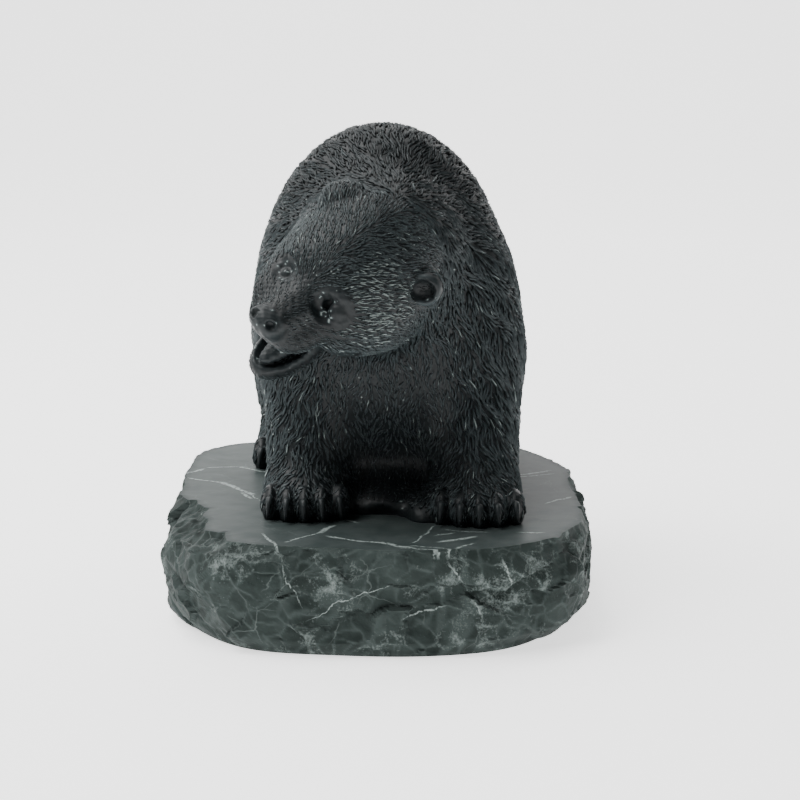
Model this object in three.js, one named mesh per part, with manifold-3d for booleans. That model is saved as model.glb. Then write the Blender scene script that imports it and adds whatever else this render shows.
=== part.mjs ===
// A bear cast in black stone, standing with its head turned and its mouth open, on a rough slab of the
// same stone. Millimetres, +Z up. The bear faces -Y, and its left side is on +X. The origin is under the
// middle of the slab, on the surface that the slab stands on.
import * as THREE from "three";
import { triTable } from "three/addons/objects/MarchingCubes.js";
import { mergeVertices } from "three/addons/utils/BufferGeometryUtils.js";
import Module from "manifold-3d";

// Driving dimensions
const bear_height = 98; // from the slab to the top of the shoulder hump
const slab_thickness = 27;
const right_margin = 19.6; // stone left beside the bear's right paws, at the slab's top
const left_margin = 17.8; // stone left beside its left paws
const front_margin = 20.5; // stone left in front of the foremost claw
const back_margin = 8; // stone left behind the hindmost heel
const head_turn = -54; // degrees, towards the bear's right
const head_nod = 27; // degrees, down
const head_tilt = 40; // degrees, left ear down
const undercut = 3.4; // how far the slab's sawn underside lies inside its widest line
const claw_length = 6.5;
const claw_radius = 1.35;

const wasm = await Module();
wasm.setup();

// A closed three.js geometry as a manifold solid.
function solid_of(geometry) {
  const bare = geometry.clone();
  bare.deleteAttribute("normal");
  bare.deleteAttribute("uv");
  const merged = mergeVertices(bare, 1e-4);
  return new wasm.Manifold(
    new wasm.Mesh({
      numProp: 3,
      vertProperties: merged.attributes.position.array,
      triVerts: new Uint32Array(merged.index.array),
    }),
  );
}

// A manifold solid as a three.js geometry.
function geometry_of(solid) {
  const mesh = solid.getMesh();
  const geometry = new THREE.BufferGeometry();
  geometry.setAttribute("position", new THREE.BufferAttribute(mesh.vertProperties, 3));
  geometry.setIndex(new THREE.BufferAttribute(mesh.triVerts, 1));
  geometry.computeVertexNormals();
  return geometry;
}

// The masses that make the bear. A mass is a distance function, negative inside, with the width over
// which it flows into what is there before it. Their sizes are those of a bear design_height tall.
const design_height = 98;
const body_masses = [];
const head_masses = [];

// An egg of three radii. The distance is close to true near the surface.
function ball(centre, radii) {
  const [cx, cy, cz] = centre;
  const [rx, ry, rz] = radii;
  return (x, y, z) => {
    const px = (x - cx) / rx;
    const py = (y - cy) / ry;
    const pz = (z - cz) / rz;
    const k0 = Math.hypot(px, py, pz);
    const k1 = Math.hypot(px / rx, py / ry, pz / rz);
    return k1 < 1e-9 ? -Math.min(rx, ry, rz) : (k0 * (k0 - 1)) / k1;
  };
}

// A tapered limb with round ends, from one point and radius to another.
function limb(from, to, r_from, r_to) {
  const [ax, ay, az] = from;
  const [dx, dy, dz] = [to[0] - ax, to[1] - ay, to[2] - az];
  const dd = dx * dx + dy * dy + dz * dz;
  return (x, y, z) => {
    const along = ((x - ax) * dx + (y - ay) * dy + (z - az) * dz) / dd;
    const t = Math.min(1, Math.max(0, along));
    const r = r_from + (r_to - r_from) * t;
    return Math.hypot(x - ax - t * dx, y - ay - t * dy, z - az - t * dz) - r;
  };
}

// A box with rounded edges, from its centre and half sizes.
function block(centre, half, rounding) {
  return (x, y, z) => {
    const qx = Math.abs(x - centre[0]) - half[0] + rounding;
    const qy = Math.abs(y - centre[1]) - half[1] + rounding;
    const qz = Math.abs(z - centre[2]) - half[2] + rounding;
    const outside = Math.hypot(Math.max(qx, 0), Math.max(qy, 0), Math.max(qz, 0));
    return outside + Math.min(Math.max(qx, qy, qz), 0) - rounding;
  };
}

const add = (masses, blend, shape) => masses.push({ blend, shape, sign: 1 });
const carve = (masses, blend, shape) => masses.push({ blend, shape, sign: -1 });
const sides = [-1, 1]; // the bear's right, then its left

// Trunk: barrel, rump, shoulder hump, chest, neck and tail
add(body_masses, 0, ball([-0.4, 19, 49.5], [35.2, 41, 40]));
add(body_masses, 12, ball([0, 39, 44], [31.5, 23, 36]));
add(body_masses, 9, ball([-0.4, -8, 56], [32, 28, 42]));
add(body_masses, 10, ball([2, -22, 40], [24, 15, 24]));
add(body_masses, 8, ball([-1, -30, 64.5], [21.5, 19, 22]));
add(body_masses, 3, ball([0, 61, 57], [4.5, 5, 8]));

// The stone left between the legs, down to the slab, with a low arch at its foot
add(body_masses, 6, block([1.5, 10.5, 16], [15, 37.5, 22], 7));
add(body_masses, 6, ball([2, -22, 0], [15, 17, 8]));
add(body_masses, 3, ball([10.5, -37, 0], [5, 9, 5.5]));
carve(body_masses, 1.5, ball([-1.5, -41, 0], [6.5, 5, 3.6]));

// Legs. Each paw is [centre x, centre y, half width, half length], and its toes spread over its front.
const paws = [
  { x: -19.8, y: -31.5, half_width: 10.3, half_length: 13 },
  { x: 23.8, y: -36.5, half_width: 10.8, half_length: 14 },
  { x: -26.8, y: 35, half_width: 9.6, half_length: 16 },
  { x: 26.4, y: 41, half_width: 9.6, half_length: 16 },
];
const [paw_right, paw_left, hind_right, hind_left] = paws;
const toes = 5;
const toe_spread = (i) => (2 * i) / (toes - 1) - 1;

add(body_masses, 9, ball([-20, -17, 48], [11, 14, 22]));
add(body_masses, 6, limb([-19, -18, 40], [paw_right.x, paw_right.y + 3, 9], 12, 9.8));
add(body_masses, 9, ball([22.5, -17, 46], [12.5, 14, 24]));
add(body_masses, 6, limb([22.5, -18, 38], [paw_left.x, paw_left.y + 5, 9], 13.2, 10.4));
for (const foot of [hind_right, hind_left]) {
  const side = Math.sign(foot.x);
  add(body_masses, 9, ball([side * 23, foot.y - 1, 34], [13, 19, 25]));
  add(body_masses, 6, limb([foot.x, foot.y + 8, 26], [foot.x, foot.y + 7, 7], 10.5, 8.5));
}
for (const paw of paws) {
  add(body_masses, 5, ball([paw.x, paw.y, 4.5], [paw.half_width, paw.half_length, 7.5]));
  for (let i = 0; i < toes; i++) {
    const [x, y] = toe_centre(paw, i);
    add(body_masses, 1, ball([x, y, 3.4], [2.5, 4.4, 5.2]));
  }
}

// The middle of a paw's toe, on an arc across the front of the paw.
function toe_centre(paw, i) {
  const t = toe_spread(i);
  const reach = paw.half_length * (0.86 - 0.26 * t * t);
  return [paw.x + t * (paw.half_width - 1.6), paw.y - reach];
}

// The head, in its own axes: X to its left, Y to its back, Z up, from the point between the eyes
const between_eyes = [-17.4, -58, 60.2];
add(head_masses, 0, ball([0, 13, -4.5], [16.5, 15.5, 13.5]));
add(head_masses, 6, ball([0, 23, -3.5], [15, 13, 11.5]));
for (const side of sides) {
  add(head_masses, 5, ball([side * 8.6, 7.5, -8.5], [8.8, 11.5, 8.8]));
  add(head_masses, 5, ball([side * 9.5, 15, -11], [9, 11, 10.5]));
}
add(head_masses, 4, limb([0, 3, -4.4], [0, -10.5, -3.4], 7.6, 5.4));
for (const side of sides) {
  add(head_masses, 3, ball([side * 4.6, -6, -6], [5.2, 8, 3.8]));
  add(head_masses, 3, ball([side * 6.3, 4.8, 2.4], [4.8, 3.6, 2.8]));
}
add(head_masses, 1.2, ball([-0.2, -14, -1], [5, 3.2, 3.6]));

// Lower jaw, hollowed like a spoon, the gap of the open mouth, the tongue
const jaw_half_width = 8.4;
const lip_width = 2.2;
add(head_masses, 5, limb([0, 12, -15], [0, -1, -18.4], 9, 6.5));
add(head_masses, 3, ball([0, -4.5, -20], [jaw_half_width, 12.6, 5.2]));
carve(head_masses, 1, ball([0, -9, -12.2], [jaw_half_width + 1.5, 12.5, 3.4]));
carve(head_masses, 1, ball([0, -6.2, -16.4], [jaw_half_width - lip_width, 9.4, 3.6]));
add(head_masses, 0.6, ball([0, -3.5, -18], [3.4, 8, 2.4]));

// Eye hollows with the eyes in them, nostrils, and cupped ears. The left eye lies in the deeper hollow.
for (const side of sides) {
  carve(head_masses, 1.4, ball([side * 7.8, -0.6, 1.8], [4, 3.9, 3.2]));
  carve(head_masses, 0.4, ball([side * 2.7 - 0.2, -16.4, 1.6], [1.2, 1.6, 1.2]));
  add(head_masses, 1.5, ball([side * 16.6, 23.8, -0.8], [5.2, 4.2, 5.4]));
  carve(head_masses, 0.8, ball([side * 17.6, 21.4, 1.8], [3.4, 3, 3.6]));
}
carve(head_masses, 1.2, ball([6.8, -0.8, 1], [4.4, 3.8, 3.6]));
for (const side of sides) add(head_masses, 0.3, ball([side * 8.2, 0.4, -0.8], [2.2, 2.2, 2.2]));

// Where one distance meets another, the corner is rounded over the blend width.
function blended_low(a, b, width) {
  if (width <= 0) return Math.min(a, b);
  const h = Math.max(width - Math.abs(a - b), 0) / width;
  return Math.min(a, b) - (h * h * width) / 4;
}

function distance_of(masses, x, y, z) {
  let d = Infinity;
  for (const { shape, blend, sign } of masses) {
    const own = sign * shape(x, y, z);
    if (d === Infinity) d = own;
    else d = sign > 0 ? blended_low(d, own, blend) : -blended_low(-d, -own, blend);
  }
  return d;
}

const degrees = Math.PI / 180;
const head_axes = new THREE.Matrix4()
  .makeRotationFromEuler(
    new THREE.Euler(head_nod * degrees, head_tilt * degrees, head_turn * degrees, "ZXY"),
  )
  .setPosition(...between_eyes);
const to_head = head_axes.clone().invert().elements;
const head_blend = 7;
const sole_depth = 2.5; // the form goes on this far under the slab's top, and is cut off flat there

function bear_distance(x, y, z) {
  const e = to_head;
  const hx = e[0] * x + e[4] * y + e[8] * z + e[12];
  const hy = e[1] * x + e[5] * y + e[9] * z + e[13];
  const hz = e[2] * x + e[6] * y + e[10] * z + e[14];
  const body = distance_of(body_masses, x, y, z);
  const head = distance_of(head_masses, hx, hy, hz);
  return Math.max(blended_low(body, head, head_blend), -sole_depth - z);
}

function gradient_at(distance, x, y, z) {
  const h = 0.05;
  return [
    (distance(x + h, y, z) - distance(x - h, y, z)) / (2 * h),
    (distance(x, y + h, z) - distance(x, y - h, z)) / (2 * h),
    (distance(x, y, z + h) - distance(x, y, z - h)) / (2 * h),
  ];
}

// Grid lines from low to high, each a step on from the last. The step depends on the place.
function grid_lines(low, high, step_at) {
  const lines = [low];
  while (lines.at(-1) < high) lines.push(lines.at(-1) + step_at(lines.at(-1)));
  return lines;
}

// Corners of a grid cell, and its edges as corner pairs, in the order that triTable uses
const corners = [[0, 0, 0], [1, 0, 0], [1, 1, 0], [0, 1, 0], [0, 0, 1], [1, 0, 1], [1, 1, 1], [0, 1, 1]];
const edges = [[0, 1], [1, 2], [2, 3], [3, 0], [4, 5], [5, 6], [6, 7], [7, 4], [0, 4], [1, 5], [2, 6], [3, 7]];

// For each pattern of inside corners, the sheets of surface in the cell, each as a list of its edges.
const sheets_of = Array.from({ length: 256 }, (_, pattern) => {
  const sheets = [];
  for (let n = pattern * 16; triTable[n] >= 0; n += 3) {
    let sheet = new Set([triTable[n], triTable[n + 1], triTable[n + 2]]);
    for (let s = sheets.length - 1; s >= 0; s--) {
      if (![...sheets[s]].some((edge) => sheet.has(edge))) continue;
      sheet = new Set([...sheet, ...sheets[s]]);
      sheets.splice(s, 1);
    }
    sheets.push(sheet);
  }
  return sheets;
});

// The four cells round a grid edge along each axis, with the edge's number in each of them
const rings = [
  [[0, 0, 0, 0], [0, -1, 0, 2], [0, -1, -1, 6], [0, 0, -1, 4]],
  [[0, 0, 0, 3], [0, 0, -1, 7], [-1, 0, -1, 5], [-1, 0, 0, 1]],
  [[0, 0, 0, 8], [-1, 0, 0, 9], [-1, -1, 0, 10], [0, -1, 0, 11]],
];

// The surface where a distance function is zero, as one closed mesh: one vertex for each sheet in each
// cell, drawn onto the surface, and one four-sided face round each grid edge that crosses it.
function surface_of(distance, xs, ys, zs) {
  const [nx, ny, nz] = [xs.length, ys.length, zs.length];
  const at = (i, j, k) => i + nx * (j + ny * k);
  const values = new Float64Array(nx * ny * nz);
  for (let k = 0; k < nz; k++)
    for (let j = 0; j < ny; j++)
      for (let i = 0; i < nx; i++) values[at(i, j, k)] = distance(xs[i], ys[j], zs[k]);

  const points = [];
  const vertex_on = new Map(); // cell number * 12 + edge number, to vertex number
  for (let k = 0; k < nz - 1; k++)
    for (let j = 0; j < ny - 1; j++)
      for (let i = 0; i < nx - 1; i++) {
        const corner_at = corners.map(([a, b, c]) => [xs[i + a], ys[j + b], zs[k + c]]);
        const corner_value = corners.map(([a, b, c]) => values[at(i + a, j + b, k + c)]);
        const pattern = corner_value.reduce((bits, v, n) => bits | (v < 0 ? 1 << n : 0), 0);
        for (const sheet of sheets_of[pattern]) {
          const middle = [0, 0, 0];
          for (const edge of sheet) {
            const [from, to] = edges[edge];
            const t = corner_value[from] / (corner_value[from] - corner_value[to]);
            for (let a = 0; a < 3; a++) {
              const step = corner_at[to][a] - corner_at[from][a];
              middle[a] += (corner_at[from][a] + t * step) / sheet.size;
            }
            vertex_on.set(at(i, j, k) * 12 + edge, points.length);
          }
          points.push(middle);
        }
      }

  const faces = [];
  const steps = [[1, 0, 0], [0, 1, 0], [0, 0, 1]];
  for (let k = 1; k < nz - 1; k++)
    for (let j = 1; j < ny - 1; j++)
      for (let i = 1; i < nx - 1; i++)
        for (let axis = 0; axis < 3; axis++) {
          const here = values[at(i, j, k)] < 0;
          const [a, b, c] = steps[axis];
          if (here === values[at(i + a, j + b, k + c)] < 0) continue;
          const ring = rings[axis].map(([di, dj, dk, edge]) =>
            vertex_on.get(at(i + di, j + dj, k + dk) * 12 + edge),
          );
          faces.push(here ? ring : ring.reverse());
        }
  return { points, faces };
}

// Evens out the faces, with each vertex drawn back onto the surface after every pass.
function relaxed({ points, faces }, distance, passes) {
  for (let pass = 0; pass <= passes; pass++) {
    if (pass > 0) {
      const sums = points.map(() => [0, 0, 0, 0]);
      for (const face of faces)
        face.forEach((v, n) => {
          const next = points[face[(n + 1) % 4]];
          const sum = sums[v];
          for (let a = 0; a < 3; a++) sum[a] += next[a];
          sum[3] += 1;
        });
      const share = 0.5; // of the way to the middle of its neighbours
      points.forEach((p, v) => {
        for (let a = 0; a < 3; a++) p[a] += share * (sums[v][a] / sums[v][3] - p[a]);
      });
    }
    for (const p of points)
      for (let n = 0; n < 2; n++) {
        const g = gradient_at(distance, ...p);
        const gg = Math.max(g[0] * g[0] + g[1] * g[1] + g[2] * g[2], 0.25);
        const pull = Math.max(-1, Math.min(1, distance(...p))) / gg;
        for (let a = 0; a < 3; a++) p[a] -= pull * g[a];
      }
  }
  return { points, faces };
}

// Splits each four-sided face along its shorter diagonal.
function geometry_from_faces({ points, faces }) {
  const gap = (a, b) => Math.hypot(...points[a].map((v, n) => v - points[b][n]));
  const index = faces.flatMap(([a, b, c, d]) =>
    gap(a, c) <= gap(b, d) ? [a, b, c, a, c, d] : [a, b, d, b, c, d],
  );
  const geometry = new THREE.BufferGeometry();
  geometry.setAttribute("position", new THREE.Float32BufferAttribute(points.flat(), 3));
  geometry.setIndex(index);
  return geometry;
}

// A claw: a cone from inside the front of its toe, down and forward, ending blunt just above the slab.
const claw_tip_gap = 0.4;
function claw(paw, i) {
  const [x, y] = toe_centre(paw, i);
  const root = new THREE.Vector3(x, y - 2.4, 6.6);
  const tip = new THREE.Vector3(x + toe_spread(i) * 0.6, y - 5.6, claw_tip_gap);
  const along = tip.clone().sub(root).normalize();
  const shape = new THREE.CylinderGeometry(claw_radius * 0.4, claw_radius, claw_length, 6);
  shape.applyQuaternion(new THREE.Quaternion().setFromUnitVectors(new THREE.Vector3(0, 1, 0), along));
  const middle = tip.clone().addScaledVector(along, -claw_length / 2);
  return shape.translate(...middle);
}

function bear_geometry() {
  const xs = grid_lines(-42.6, 43, () => 3);
  const ys = grid_lines(-82.1, 70, (y) => {
    if (y < -50) return 2.6; // the face
    if (y < -36) return 3.2;
    if (y < -20) return 4.2;
    return y > 12 && y < 30 ? 4.2 : 7.6; // the hind toes, and the plain flanks
  });
  const zs = grid_lines(-5.9, 103, (z) => {
    if (z < 10) return 2.6; // the toes
    if (z < 38) return 5.8;
    return z < 74 ? 2.8 : 4.6; // the face, and the back
  });
  const skin = relaxed(surface_of(bear_distance, xs, ys, zs), bear_distance, 3);
  let bear = solid_of(geometry_from_faces(skin));
  for (const paw of paws)
    for (let i = 0; i < toes; i++) bear = bear.add(solid_of(claw(paw, i)));
  // The soles are cut flat where they stand on the slab.
  const below = 20;
  const floor_cut = new THREE.BoxGeometry(300, 300, below).translate(0, 0, -below / 2);
  bear = bear.subtract(solid_of(floor_cut));
  return geometry_of(bear).scale(...Array(3).fill(bear_height / design_height));
}

// The slab's widest line is a squarish oval, squarer at its back left corner and a little uneven. Its
// honed top ends in a broken rim inside that line, and its side steps down to the sawn underside.
const outline_power = 4; // 2 is an ellipse, more is squarer
const squarer_corner = 130; // degrees
const squarer_by = 1.8;
const waves = [[5, 0.006, 0.7], [8, 0.005, 3.9], [13, 0.004, 1.3]];
const segments = 90;

// A number from 0 to 1 that looks random but is the same each time.
function scatter(n) {
  const s = Math.sin(n * 127.1 + 11.7) * 43758.5453;
  return s - Math.floor(s);
}

// How far the rim lies inside the widest line: [angle in degrees, inset]. The deep ones are the broken
// front right corner, and a chip at the back left one.
const rim_insets = [
  [12, 2.3], [35, 2.2], [46, 6.1], [53, 7.6], [68, 3.6], [84, 1], [104, 0.8], [126, 1.8], [153, 1.2],
  [168, 0.8], [187, 2], [199, 6.9], [209, 12.9], [221, 12.3], [229, 8.8], [234, 11.7], [239, 5.6],
  [247, 5], [256, 2.9], [268, 1.2], [280, 0.8], [297, 3], [308, 1.4], [319, 2.4], [340, 2.5],
];
function rim_inset(angle) {
  const at = angle / degrees;
  const after = rim_insets.findIndex(([other]) => other > at);
  const [next, next_inset] = rim_insets[Math.max(after, 0)];
  const [last, last_inset] = rim_insets.at(after < 0 ? -1 : after - 1);
  const turn = 360;
  const share = ((at - last + turn) % turn) / ((next - last + turn) % turn);
  return last_inset + share * (next_inset - last_inset);
}

function slab_geometry(half_x, half_y) {
  const levels = [
    { height: 1, out: 0, inset: 1, rough: 0, square: 1 },
    { height: 0.88, out: 0, inset: 0.25, rough: 0.6, square: 1 },
    { height: 0.66, out: 0.2, inset: 0, rough: 1, square: 1 },
    { height: 0.4, out: 0, inset: 0, rough: 1, square: 0.9 },
    { height: 0.14, out: 0, inset: 0, rough: 0.9, square: 0.72 },
    { height: 0, out: -undercut, inset: 0, rough: 0.4, square: 0.68 },
  ];
  const points = [];
  levels.forEach((level, row) => {
    for (let s = 0; s < segments; s++) {
      const angle = (2 * Math.PI * s) / segments;
      const [c, d] = [Math.cos(angle), Math.sin(angle)];
      const at_corner = Math.max(0, Math.cos(angle - squarer_corner * degrees));
      const power = (outline_power + squarer_by * at_corner) * level.square;
      const round = Math.abs(c / half_x) ** power + Math.abs(d / half_y) ** power;
      const uneven = waves.reduce((sum, [n, size, phase]) => sum + size * Math.cos(n * angle + phase), 1);
      const chip = (scatter(Math.floor(s / 3) * 7 + row * 31) - 0.5) * 2 * level.rough;
      const reach = uneven * round ** (-1 / power) + level.out + chip - level.inset * rim_inset(angle);
      points.push([c * reach, d * reach, level.height * slab_thickness]);
    }
  });
  const index = [];
  const rows = levels.length;
  for (let row = 0; row < rows - 1; row++)
    for (let s = 0; s < segments; s++) {
      const next = (s + 1) % segments;
      const [a, b] = [row * segments + s, row * segments + next];
      index.push(a, a + segments, b, b, a + segments, b + segments);
    }
  const [top, bottom] = [points.length, points.length + 1];
  points.push([0, 0, slab_thickness], [0, 0, 0]);
  for (let s = 0; s < segments; s++) {
    const next = (s + 1) % segments;
    index.push(top, s, next);
    index.push(bottom, (rows - 1) * segments + next, (rows - 1) * segments + s);
  }
  const geometry = new THREE.BufferGeometry();
  geometry.setAttribute("position", new THREE.Float32BufferAttribute(points.flat(), 3));
  geometry.setIndex(index);
  geometry.computeVertexNormals();
  return geometry;
}

const cast_stone = new THREE.MeshStandardMaterial({ color: 0x2a3032, roughness: 0.5, metalness: 0 });
const raw_stone = new THREE.MeshStandardMaterial({ color: 0x4c5453, roughness: 0.75, metalness: 0 });

// The bear's footprint, with the margins round it, sets the slab's size and where the bear stands on it.
const bear_shape = bear_geometry();
const foot_height = bear_height * 0.1;
const footprint = new THREE.Box3();
const vertex = new THREE.Vector3();
const bear_vertices = bear_shape.attributes.position;
for (let n = 0; n < bear_vertices.count; n++) {
  vertex.fromBufferAttribute(bear_vertices, n);
  if (vertex.z < foot_height) footprint.expandByPoint(vertex);
}
const half_x = (footprint.max.x - footprint.min.x + right_margin + left_margin) / 2;
const half_y = (footprint.max.y - footprint.min.y + front_margin + back_margin) / 2;
const slab_shape = slab_geometry(half_x, half_y);
slab_shape.computeBoundingBox();
const slab_middle = slab_shape.boundingBox.getCenter(new THREE.Vector3());
slab_shape.translate(-slab_middle.x, -slab_middle.y, 0);

const slab = new THREE.Mesh(slab_shape, raw_stone);
slab.name = "slab";
const bear = new THREE.Mesh(bear_shape, cast_stone);
bear.name = "bear";
const footprint_x = (footprint.max.x + left_margin + footprint.min.x - right_margin) / 2;
const footprint_y = (footprint.max.y + back_margin + footprint.min.y - front_margin) / 2;
bear.position.set(-footprint_x - slab_middle.x, -footprint_y - slab_middle.y, slab_thickness);

const figurine = new THREE.Group();
figurine.add(slab, bear);
export default figurine;
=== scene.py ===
"""A bear pressed from black shungite on a raw slab of the same stone, dressed for the render.

Blender works in metres. Sizes in this script are in millimetres unless a name says otherwise, and
MM turns them into metres. The bear's form is worked out in its own axes: X to its left, Y to its
back, Z up, from the point on the slab under its chest.
"""
import math

import bpy
import numpy as np
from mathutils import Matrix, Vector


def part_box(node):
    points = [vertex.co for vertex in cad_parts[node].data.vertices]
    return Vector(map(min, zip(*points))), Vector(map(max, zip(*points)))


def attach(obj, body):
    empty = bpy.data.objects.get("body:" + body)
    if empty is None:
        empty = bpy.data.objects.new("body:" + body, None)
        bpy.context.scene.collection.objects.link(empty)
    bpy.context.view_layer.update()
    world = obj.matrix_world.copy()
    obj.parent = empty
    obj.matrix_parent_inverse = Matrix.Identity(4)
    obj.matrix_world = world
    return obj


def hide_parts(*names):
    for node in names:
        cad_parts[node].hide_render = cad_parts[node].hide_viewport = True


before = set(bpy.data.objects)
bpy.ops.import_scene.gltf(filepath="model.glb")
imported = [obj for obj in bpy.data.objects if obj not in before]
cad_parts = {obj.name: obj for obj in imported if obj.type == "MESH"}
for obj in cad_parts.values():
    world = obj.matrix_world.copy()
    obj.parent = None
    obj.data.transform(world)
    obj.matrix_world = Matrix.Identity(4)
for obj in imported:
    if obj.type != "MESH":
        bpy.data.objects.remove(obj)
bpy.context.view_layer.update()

MM = 0.001
SEED = 7

# Where the photograph was taken from, in the bear's own axes, and how narrow its view is
CAMERA_PLACE = (4.2, -567.0, 120.0)
CAMERA_PITCH = math.atan(362 / 2128)
CAMERA_LENS = 95.8  # on a 36 mm wide sensor


# The bear's form

def ball(centre, radii):
    """Distance to an egg of three radii: k0 (k0 - 1) / k1, with k0 the length of the point over the
    radii and k1 that over their squares. Negative inside."""
    c, r = np.array(centre, float), np.array(radii, float)

    def distance(p):
        q = (p - c) / r
        k0 = np.sqrt((q * q).sum(-1))
        q /= r
        k1 = np.sqrt((q * q).sum(-1))
        return k0 * (k0 - 1) / np.maximum(k1, 1e-9)
    return distance


def limb(start, end, r_start, r_end):
    """Distance to a rod with round ends whose radius goes evenly from r_start to r_end."""
    a = np.array(start, float)
    along = np.array(end, float) - a

    def distance(p):
        q = p - a
        t = np.clip(q @ along / (along @ along), 0, 1)
        q = q - t[..., None] * along
        return np.sqrt((q * q).sum(-1)) - (r_start + (r_end - r_start) * t)
    return distance


def ring(centre, axis, radius, thickness):
    """Distance to a ring of round section about an axis through its centre."""
    c, a = np.array(centre, float), np.array(axis, float)
    a /= np.linalg.norm(a)

    def distance(p):
        q = p - c
        along = q @ a
        out = np.sqrt(np.maximum((q * q).sum(-1) - along * along, 0)) - radius
        return np.sqrt(out * out + along * along) - thickness
    return distance


def block(centre, half, rounding):
    """Distance to a box with rounded edges, from its centre and half sizes."""
    c, h = np.array(centre, float), np.array(half, float)

    def distance(p):
        q = np.abs(p - c) - h + rounding
        outside = np.sqrt((np.maximum(q, 0) ** 2).sum(-1))
        return outside + np.minimum(q.max(-1), 0) - rounding
    return distance


def blended_low(a, b, width):
    """The lower of two distances, rounded over the width where they meet: min(a, b) - h h width / 4,
    with h falling from 1 to 0 as a and b move a width apart."""
    if width <= 0:
        return np.minimum(a, b)
    h = np.maximum(width - np.abs(a - b), 0) / width
    return np.minimum(a, b) - h * h * width / 4


class Form:
    """Masses that are added or carved one after another, each with the width that it blends over."""

    def __init__(self):
        self.masses = []

    def add(self, blend, shape):
        self.masses.append((1, blend, shape))

    def carve(self, blend, shape):
        self.masses.append((-1, blend, shape))

    def distance(self, p):
        d = None
        for sign, blend, shape in self.masses:
            own = sign * shape(p)
            if d is None:
                d = own
            elif sign > 0:
                d = blended_low(d, own, blend)
            else:
                d = -blended_low(-d, -own, blend)
        return d


SIDES = (-1, 1)  # the bear's right, then its left
TOES = 5
# Each paw: centre x, centre y, half width, half length
PAWS = (
    (-19.8, -31.5, 10.3, 13.0),
    (23.8, -36.5, 10.8, 14.0),
    (-26.8, 35.0, 9.6, 16.0),
    (26.4, 41.0, 9.6, 16.0),
)


def toe_centre(paw, i):
    """The middle of toe i, on an arc across the front of the paw."""
    x, y, half_width, half_length = paw
    t = 2 * i / (TOES - 1) - 1
    return x + t * (half_width - 1.6), y - half_length * (0.86 - 0.26 * t * t), t


def body_form():
    """Trunk, rump, hump, chest, nape, tail, the stone under the belly, the legs and the paws."""
    f = Form()
    f.add(0, ball((-0.4, 19, 49.5), (35.2, 41, 40)))
    f.add(12, ball((0, 39, 44), (31.5, 23, 36)))
    f.add(9, ball((-0.4, -8, 56), (32, 28, 42)))
    f.add(10, ball((2, -22, 40), (24, 15, 24)))
    f.add(8, ball((-1, -30, 64.5), (21.5, 19, 22)))
    f.add(3, ball((0, 61, 57), (4.5, 5, 8)))
    f.add(6, block((1.5, 10.5, 16), (15, 37.5, 22), 7))
    f.add(6, ball((2, -22, 0), (15, 17, 8)))
    f.add(3, ball((10.5, -37, 0), (5, 9, 5.5)))
    f.carve(1.5, ball((-1.5, -41, 0), (6.5, 5, 3.6)))
    right, left, hind_right, hind_left = PAWS
    f.add(9, ball((-20, -17, 48), (11, 14, 22)))
    f.add(6, limb((-19, -18, 40), (right[0], right[1] + 3, 9), 12, 9.8))
    f.add(9, ball((22.5, -17, 46), (12.5, 14, 24)))
    f.add(6, limb((22.5, -18, 38), (left[0], left[1] + 5, 9), 13.2, 10.4))
    for foot in (hind_right, hind_left):
        side = math.copysign(1, foot[0])
        f.add(9, ball((side * 23, foot[1] - 1, 34), (13, 19, 25)))
        f.add(6, limb((foot[0], foot[1] + 8, 26), (foot[0], foot[1] + 7, 7), 10.5, 8.5))
    for paw in PAWS:
        f.add(5, ball((paw[0], paw[1], 4.5), (paw[2], paw[3], 7.5)))
        for i in range(TOES):
            x, y, _ = toe_centre(paw, i)
            f.add(1, ball((x, y, 3.4), (2.5, 4.4, 5.2)))
    return f


HEAD_TURN, HEAD_NOD, HEAD_TILT = (math.radians(v) for v in (-54, 27, 40))
BETWEEN_EYES = np.array((-17.4, -58.0, 60.2))
HEAD_BLEND = 7.0
SOLE_DEPTH = 2.5  # the form goes on this far under the slab's top
# The left ear's cup, in the head's axes
EAR_MIDDLE = np.array((17.1, 21.9, -0.9))
EAR_FACING = np.array((0.4, -0.78, 0.48))
EAR_RADIUS = 3.5
EAR_RIM = ring(EAR_MIDDLE, EAR_FACING, EAR_RADIUS, 0)


def turned(axis, angle):
    """The matrix of a turn about axis 0, 1 or 2."""
    c, s = math.cos(angle), math.sin(angle)
    m = np.eye(3)
    i, j = [(1, 2), (2, 0), (0, 1)][axis]
    m[i, i], m[i, j], m[j, i], m[j, j] = c, -s, s, c
    return m


HEAD_AXES = turned(2, HEAD_TURN) @ turned(0, HEAD_NOD) @ turned(1, HEAD_TILT)


def to_head(p):
    return (p - BETWEEN_EYES) @ HEAD_AXES


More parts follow.
